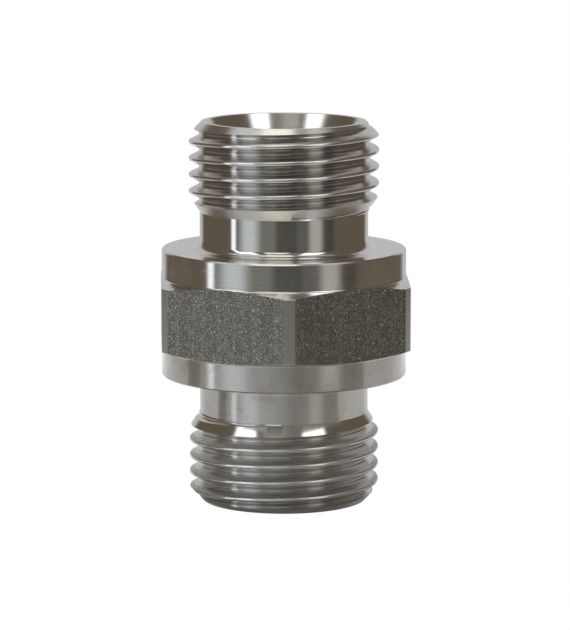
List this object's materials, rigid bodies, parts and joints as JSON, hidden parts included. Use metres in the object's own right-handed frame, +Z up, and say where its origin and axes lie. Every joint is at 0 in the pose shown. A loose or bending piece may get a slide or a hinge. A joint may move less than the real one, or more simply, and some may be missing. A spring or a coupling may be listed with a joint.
{
  "type": "hexagon pipe nipple",
  "caption": "Hexagon pipe nipple with a male parallel pipe thread at each end, round sealing collars, undercuts, a through bore and conical seats.",
  "frame": {"origin": "centre of the lower end face, which the part stands on", "axes": "+Z up the bore towards the upper thread; two corners of the hexagon on the Y axis, two flats facing +X and -X"},
  "size_m": [0.027, 0.0304, 0.042],
  "materials": {
    "stainless_steel": "bright turned, with blasted flats"
  },
  "bodies": {
    "root": {"nipple_body": "stainless_steel"}
  },
  "joints": []
}
